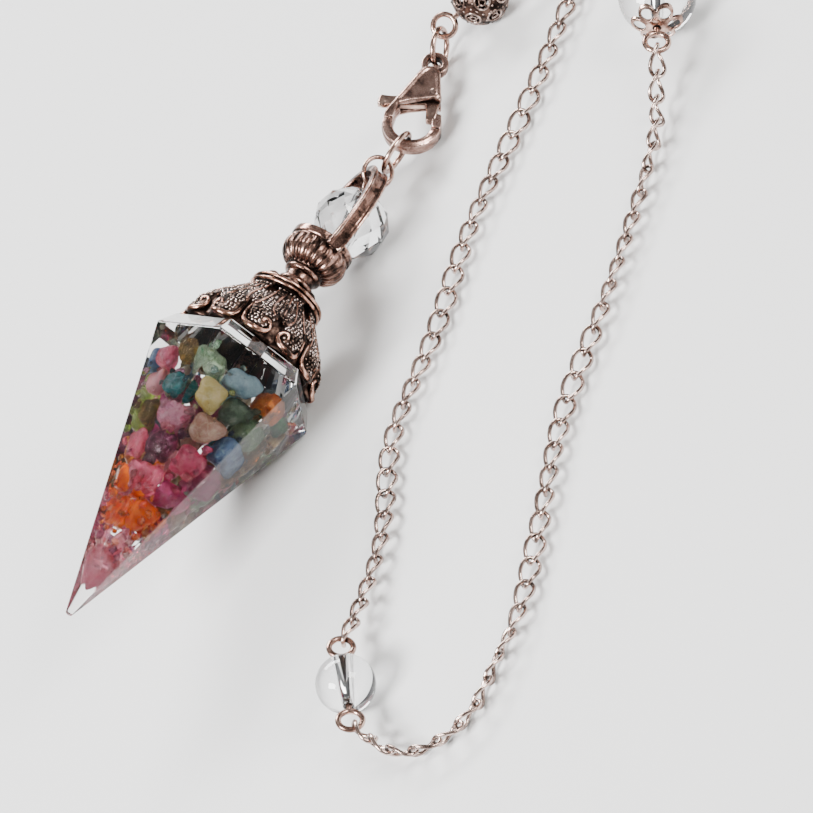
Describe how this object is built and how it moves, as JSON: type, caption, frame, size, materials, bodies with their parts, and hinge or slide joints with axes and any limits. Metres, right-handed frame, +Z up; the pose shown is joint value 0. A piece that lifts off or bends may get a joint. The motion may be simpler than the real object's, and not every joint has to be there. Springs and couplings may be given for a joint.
{
  "type": "pendulum pendant",
  "caption": "Pendulum pendant lying flat: six-sided clear point filled with tumbled stones, petalled copper cap, arch with cut bead, clasp and beaded curb chain.",
  "frame": {"origin": "centre of the footprint on the surface that the pendant lies on", "axes": "+Z up from the surface, +X towards the large clear bead at the chain's end, +Y across it towards the metal bead"},
  "size_m": [0.0914, 0.0791, 0.0165],
  "materials": {
    "clear_resin": "clear polished casting resin",
    "pink_stone": "tumbled, translucent",
    "rose_stone": "tumbled, translucent",
    "green_stone": "tumbled, translucent",
    "blue_stone": "tumbled",
    "amber_stone": "tumbled, translucent",
    "cream_stone": "tumbled",
    "clear_glass": "clear polished glass",
    "antique_copper": "antiqued copper plating, dark in the recesses",
    "chain_copper": "copper plating worn paler"
  },
  "bodies": {
    "pendant": {"clear_point": "clear_resin", "pink_stones": "pink_stone", "rose_stones": "rose_stone", "green_stones": "green_stone", "blue_stones": "blue_stone", "amber_stones": "amber_stone", "cream_stones": "cream_stone", "petal_cap": "antique_copper", "fluted_bail": "antique_copper", "drop_bead": "clear_glass", "drop_bead_pin": "antique_copper", "bail_ring": "antique_copper", "clasp_ring": "antique_copper", "clasp_body": "antique_copper", "clasp_pivot": "antique_copper", "link_ring": "antique_copper", "metal_bead": "antique_copper", "metal_bead_pin": "antique_copper", "upper_chain": "chain_copper", "small_bead": "clear_glass", "small_bead_pin": "antique_copper", "lower_chain": "chain_copper", "large_bead": "clear_glass", "lower_bead_cap": "antique_copper", "upper_bead_cap": "antique_copper", "large_bead_pin": "antique_copper"},
    "lever": {"clasp_lever": "antique_copper"}
  },
  "joints": [
    {"name": "lever_hinge", "type": "hinge", "parent": "pendant", "child": "lever", "pos_m": [0.01823, 0.0318, 0.00198], "axis": [0.4063, -0.4284, 0.807], "range_deg": [-22, 0], "stiffness_Nm_per_rad": 0.002, "springref_deg": 17.19}
  ]
}
